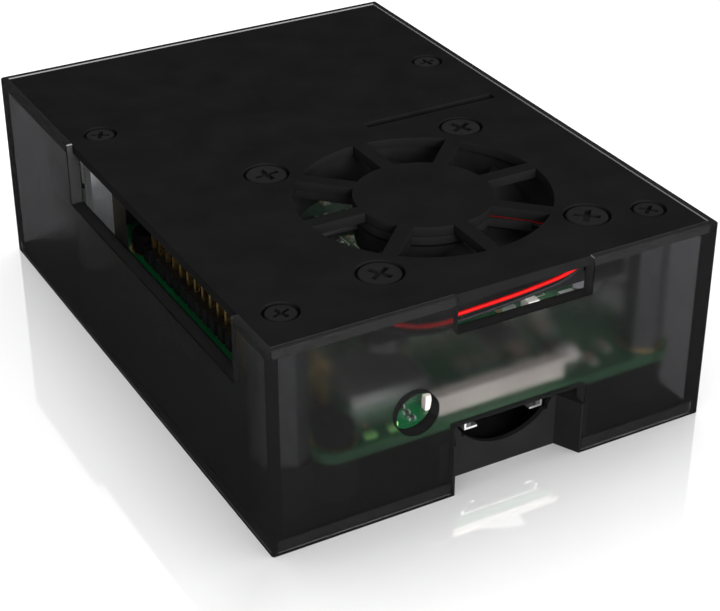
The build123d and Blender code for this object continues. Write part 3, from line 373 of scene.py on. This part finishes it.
MATERIALS = {
    "smoke_wall": smoky_plastic(),
    "black_cover": plastic("cover_black", (0.0051, 0.0051, 0.0052), (0.0066, 0.0066, 0.0067),
                           0.55, 4.0, 0.010, 0.0),
    "black_moulding": plastic("moulded_black", (0.006, 0.006, 0.0065), (0.010, 0.010, 0.0105),
                              0.42, 3.0, 0.012, 0.08),
    "bright_nickel": brushed_metal("nickel_plate", (0.80, 0.80, 0.79), (0.92, 0.92, 0.91),
                                   0.34, (0.3, 1.5, 0.12)),
    "black_steel": plastic("black_oxide", (0.0050, 0.0050, 0.0052), (0.0070, 0.0070, 0.0072),
                           0.40, 4.0, 0.010, 0.006),
    "zinc_steel": brushed_metal("zinc_plate", (0.16, 0.165, 0.17), (0.24, 0.245, 0.25),
                                0.38, (2.0, 2.0, 0.4)),
    "gold": brushed_metal("gold_plate", (0.62, 0.42, 0.13), (0.85, 0.62, 0.24),
                          0.28, (2.0, 2.0, 0.5)),
    "board_green": board_material(),
    "chip_black": plastic("chip_epoxy", (0.010, 0.010, 0.011), (0.022, 0.022, 0.024),
                          0.55, 6.0, 0.01),
    "cream_plastic": plastic("cream_plastic", (0.56, 0.53, 0.47), (0.68, 0.65, 0.58),
                             0.45, 3.0, 0.012),
    "magnet_grey": plastic("ferrite", (0.05, 0.047, 0.045), (0.09, 0.085, 0.08),
                           0.6, 5.0, 0.02),
    "copper": copper_winding(),
    "bronze": brushed_metal("sintered_bronze", (0.38, 0.24, 0.10), (0.55, 0.38, 0.18),
                            0.4, (3.0, 3.0, 3.0)),
    "lead_red": wire_material("red_insulation", (0.24, 0.002, 0.002), (0.36, 0.004, 0.004), 0.10),
    "lead_black": wire_material("black_insulation", (0.006, 0.006, 0.0065),
                                (0.010, 0.010, 0.011), 0.12),
    "ceramic_tan": ceramic_material(),
    "moulded_pale": plastic("moulded_pale", (0.62, 0.60, 0.55), (0.74, 0.72, 0.67),
                            0.4, 3.0, 0.01),
    "light_window": window_material(),
}


def dress_nodes():
    """Give every CAD node the material of its slot."""
    for part in frame["record"]["subparts"]:
        slots = nodes[part["node"]].data.materials
        if not slots:
            slots.append(None)
        for index in range(len(slots)):
            slots[index] = MATERIALS[part["material_slot"]]


dress_nodes()


# ---------------------------------------------------------------- detail pieces
CAP_SHARE = 0.24                     # share of a small part's length that each tinned end covers
CAP_SKIN = 0.03                      # how far a tinned end stands out
LEG_PITCH = 0.65
LEG_HALF_WIDTH = 0.13
LEG_STEPS = ((0.0, 0.25, 0.0, 0.4), (0.25, 0.55, 0.0, 0.1))    # near, far, bottom and top of each step
RING_INNER = 1.4
RING_OUTER = 3.1
RING_HEIGHT = 0.03
PIN_RADIUS = 0.28
SOLDER_PROFILE = ((PIN_RADIUS, 0.0), (0.85, 0.0), (0.55, 0.25), (0.40, 0.85), (PIN_RADIUS, 0.85))
PRINT_SINK = 0.005                   # the print starts this far inside the board
PRINT_MARGINS = {"network_chip": 1.0, "power_chip": 0.9, "processor_carrier": 0.6,
                 "camera_connector": 0.5, "audio_jack_body": 0.4, "video_port_shell": 0.5}
PRINT_EDGE = 0.2                     # print stays this far inside the board's edge
PAD_COUNT = 46
PAD_STEPS = (37, 29)                 # strides that scatter the pads across and along the board
PAD_RADIUS = 0.42
PAD_CORE = 0.0001                    # pinhole in the middle of a pad
PAD_HEIGHT = 0.012


def add_block(bm, low, high):
    """Box between two corners, in millimetres."""
    corners = [bm.verts.new(Vector((x, y, z)) * MM)
               for x in (low[0], high[0]) for y in (low[1], high[1]) for z in (low[2], high[2])]
    for face in ((0, 1, 3, 2), (4, 6, 7, 5), (0, 4, 5, 1), (2, 3, 7, 6), (0, 2, 6, 4), (1, 5, 7, 3)):
        bm.faces.new([corners[index] for index in face])


def add_lathe(bm, center, profile, sides):
    """Closed profile of (radius, height) pairs, turned about an upright axis, in millimetres."""
    rings = []
    for index in range(sides):
        angle = 2 * math.pi * index / sides
        turned = [(center[0] + radius * math.cos(angle), center[1] + radius * math.sin(angle), height)
                  for radius, height in profile]
        rings.append([bm.verts.new(Vector(place) * MM) for place in turned])
    for index, ring in enumerate(rings):
        following = rings[(index + 1) % sides]
        for step in range(len(profile)):
            beside = (step + 1) % len(profile)
            bm.faces.new((ring[step], following[step], following[beside], ring[beside]))


def add_frame(bm, low, high, line, bottom, top):
    """Thin rectangular outline made of four strips."""
    add_block(bm, (low[0], low[1], bottom), (high[0], low[1] + line, top))
    add_block(bm, (low[0], high[1] - line, bottom), (high[0], high[1], top))
    add_block(bm, (low[0], low[1] + line, bottom), (low[0] + line, high[1] - line, top))
    add_block(bm, (high[0] - line, low[1] + line, bottom), (high[0], high[1] - line, top))


def finish_piece(name, slot, bm):
    """Turn the mesh into a piece that rides on the case."""
    bmesh.ops.recalc_face_normals(bm, faces=bm.faces)
    mesh = bpy.data.meshes.new(name)
    bm.to_mesh(mesh)
    bm.free()
    mesh.materials.append(MATERIALS[slot])
    piece = bpy.data.objects.new(name, mesh)
    bpy.context.scene.collection.objects.link(piece)
    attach(piece, CASE)


def islands(node):
    """Corners (low, high) in millimetres of each separate body in a CAD node."""
    mesh = nodes[node].data
    keys = [tuple(round(value / MM, 3) for value in vertex.co) for vertex in mesh.vertices]
    leader = {key: key for key in keys}

    def root(key):
        while leader[key] != key:
            key = leader[key]
        return key

    for polygon in mesh.polygons:
        first = root(keys[polygon.vertices[0]])
        for index in polygon.vertices[1:]:
            leader[root(keys[index])] = first
    bodies = {}
    for key in sorted(leader):
        bodies.setdefault(root(key), []).append(key)
    return [(Vector([min(values) for values in zip(*keys)]), Vector([max(values) for values in zip(*keys)]))
            for keys in bodies.values()]


def node_box(node):
    """Corners of a CAD node in millimetres."""
    low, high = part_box(node)
    return low / MM, high / MM


def build_end_caps():
    """Tinned ends of the small ceramic parts and resistors."""
    bm = bmesh.new()
    for node in ("capacitors", "resistors", "power_fuse", "inductors"):
        for low, high in islands(node):
            size = high - low
            axis = 0 if size.x > size.y else 1
            length = size[axis] * CAP_SHARE
            for end in (0, 1):
                cap_low = low - Vector((CAP_SKIN, CAP_SKIN, 0.0))
                cap_high = high + Vector((CAP_SKIN, CAP_SKIN, CAP_SKIN))
                if end:
                    cap_low[axis] = cap_high[axis] - length
                else:
                    cap_high[axis] = cap_low[axis] + length
                add_block(bm, cap_low, cap_high)
    finish_piece("end_caps", "bright_nickel", bm)


def build_chip_legs():
    """Bent legs along the sides of the moulded chips."""
    bm = bmesh.new()
    chips = [(node_box("network_chip"), (0, 1)), (node_box("power_chip"), (0, 1))]
    chips += [(body, (0,)) for body in islands("small_chips")]
    for (low, high), axes in chips:
        for axis in axes:
            along = 1 - axis
            span = high[along] - low[along]
            count = max(2, int(span / LEG_PITCH))
            for index in range(count):
                middle = low[along] + span * (index + 0.5) / count
                for side, edge in ((-1, low[axis]), (1, high[axis])):
                    for near, far, bottom, top in LEG_STEPS:
                        ends = sorted((edge + side * near, edge + side * far))
                        start, stop = [0, 0, BOARD_TOP + bottom], [0, 0, BOARD_TOP + top]
                        start[axis], stop[axis] = ends
                        start[along] = middle - LEG_HALF_WIDTH
                        stop[along] = middle + LEG_HALF_WIDTH
                        add_block(bm, start, stop)
    finish_piece("chip_legs", "bright_nickel", bm)


def build_hole_rings():
    """Bare plated rings round the four mounting holes, on both faces of the board."""
    bm = bmesh.new()
    low, high = node_box("circuit_board")
    for x in (high.x - HOLE_INSET, high.x - HOLE_INSET - HOLE_PITCH_X):
        for y in (low.y + HOLE_INSET, low.y + HOLE_INSET + HOLE_PITCH_Y):
            for bottom in (BOARD_TOP, BOARD_UNDER - RING_HEIGHT):
                top = bottom + RING_HEIGHT
                profile = [(RING_INNER, bottom), (RING_OUTER, bottom), (RING_OUTER - 0.05, top),
                           (RING_INNER, top)]
                add_lathe(bm, (x, y), profile, 40)
    finish_piece("hole_rings", "gold", bm)


def build_solder_joints():
    """Solder cones where the header's pins come through the board."""
    bm = bmesh.new()
    profile = [(radius, BOARD_UNDER - depth) for radius, depth in SOLDER_PROFILE]
    for low, high in islands("header_pins"):
        add_lathe(bm, (low + high) / 2, profile, 14)
    finish_piece("solder_joints", "bright_nickel", bm)


def build_screen_print():
    """Plain printed outlines round the larger parts."""
    bm = bmesh.new()
    bottom = BOARD_TOP - PRINT_SINK
    board_low, board_high = node_box("circuit_board")
    for node, margin in PRINT_MARGINS.items():
        low, high = node_box(node)
        low = [max(low[axis] - margin, board_low[axis] + PRINT_EDGE) for axis in (0, 1)]
        high = [min(high[axis] + margin, board_high[axis] - PRINT_EDGE) for axis in (0, 1)]
        add_frame(bm, low, high, 0.16, bottom, BOARD_TOP + 0.015)
    for low, high in islands("capacitors") + islands("small_chips"):
        margin = 0.28 if high.x - low.x < 2.0 else 0.75
        around = Vector((margin, margin, 0))
        add_frame(bm, low - around, high + around, 0.1, bottom, BOARD_TOP + 0.012)
    finish_piece("screen_print", "cream_plastic", bm)


def build_test_points():
    """Round bare test pads scattered over the board's two faces."""
    bm = bmesh.new()
    low, high = node_box("circuit_board")
    first = (low.x + 8.5, low.y + 4.0)
    room = (high.x - low.x - 14.0, high.y - low.y - 24.0)
    for index in range(PAD_COUNT):
        x, y = (start + (index * step % PAD_COUNT) / PAD_COUNT * reach
                for start, step, reach in zip(first, PAD_STEPS, room))
        for bottom in (BOARD_TOP, BOARD_UNDER - PAD_HEIGHT):
            top = bottom + PAD_HEIGHT
            profile = [(PAD_CORE, bottom), (PAD_RADIUS, bottom), (PAD_RADIUS, top), (PAD_CORE, top)]
            add_lathe(bm, (x, y), profile, 18)
    finish_piece("test_points", "gold", bm)


build_end_caps()
build_chip_legs()
build_hole_rings()
build_solder_joints()
build_screen_print()
build_test_points()


# ---------------------------------------------------------------- camera, floor and light
CAMERA_PLACE = (-111.02, -207.19, 142.6)
CAMERA_TARGET = (-6.15, -19.55, 15.2)
CAMERA_LENS = 89.935                 # with a sensor 36 mm wide
FLOOR_SIZE = 6.0                     # metres from the middle to each side
FLOOR_DROP = 0.02                    # keeps the floor clear of the base plate's underside
FLOOR_TONE = 0.90
GLOSS_REACH = 40.0                   # the floor's reflection is gone by this far from the case
WORLD_STRENGTH = 1.22
KEY_PLACE = (-50.0, -850.0, 240.0)
KEY_AIM = (0.0, 0.0, 15.0)
KEY_SIZE = 500.0
KEY_POWER = 24.0                     # watts


def build_camera():
    """Camera above the near left corner, with a long lens."""
    eye = Vector(CAMERA_PLACE) * MM
    target = Vector(CAMERA_TARGET) * MM
    data = bpy.data.cameras.new("camera")
    data.sensor_width = 36.0
    data.lens = CAMERA_LENS
    data.clip_start = 0.01
    camera = bpy.data.objects.new("camera", data)
    camera.rotation_mode = "QUATERNION"
    camera.location = eye
    camera.rotation_quaternion = (target - eye).to_track_quat("-Z", "Y")
    bpy.context.scene.collection.objects.link(camera)
    bpy.context.scene.camera = camera


def build_floor():
    """Wide pale floor with a faint reflection that dies away from the case."""
    bm = bmesh.new()
    bmesh.ops.create_grid(bm, x_segments=8, y_segments=8, size=FLOOR_SIZE)
    mesh = bpy.data.meshes.new("floor")
    bm.to_mesh(mesh)
    bm.free()
    floor = bpy.data.objects.new("floor", mesh)
    floor.location.z = -FLOOR_DROP * MM
    bpy.context.scene.collection.objects.link(floor)
    n = Nodes("floor_paint")
    n.set(base_color=(FLOOR_TONE, FLOOR_TONE, FLOOR_TONE), roughness=0.9, specular_ior_level=0.0,
          emission_color=(1.0, 1.0, 1.0), emission_strength=0.16)
    gloss = n.add("ShaderNodeBsdfGlossy")
    gloss.inputs["Color"].default_value = (FLOOR_TONE, FLOOR_TONE, FLOOR_TONE, 1.0)
    gloss.inputs["Roughness"].default_value = 0.05
    away = n.math("DIVIDE", n.beyond(HALF_X, HALF_Y), GLOSS_REACH)
    share = n.ramp(away, [(0.0, 0.27), (0.25, 0.14), (0.70, 0.0)])
    n.link(n.blend_shaders(share, n.shader.outputs[0], gloss.outputs[0]), n.output.inputs["Surface"])
    mesh.materials.append(n.material)
    floor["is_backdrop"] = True


def soft_light(name, place, aim, size, power):
    """Square soft light aimed at a point."""
    data = bpy.data.lights.new(name, "AREA")
    data.size = size * MM
    data.energy = power
    light = bpy.data.objects.new(name, data)
    light.location = Vector(place) * MM
    light.rotation_mode = "QUATERNION"
    light.rotation_quaternion = (Vector(aim) - Vector(place)).to_track_quat("-Z", "Y")
    bpy.context.scene.collection.objects.link(light)
    return light


def light_only_pieces(light):
    """Let a light fall on the object's pieces alone, and not on the floor."""
    lit = bpy.data.collections.new("lit_by_" + light.name)
    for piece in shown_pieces():
        lit.objects.link(piece)
    light.light_linking.receiver_collection = lit


def build_studio():
    """White surroundings and one large soft key from the front."""
    world = bpy.data.worlds.new("studio")
    world.use_nodes = True
    background = world.node_tree.nodes["Background"]
    background.inputs["Color"].default_value = (1.0, 1.0, 1.0, 1.0)
    background.inputs["Strength"].default_value = WORLD_STRENGTH
    bpy.context.scene.world = world
    light_only_pieces(soft_light("key", KEY_PLACE, KEY_AIM, KEY_SIZE, KEY_POWER))
    bpy.context.scene.view_settings.view_transform = "Standard"


build_camera()
build_floor()
build_studio()
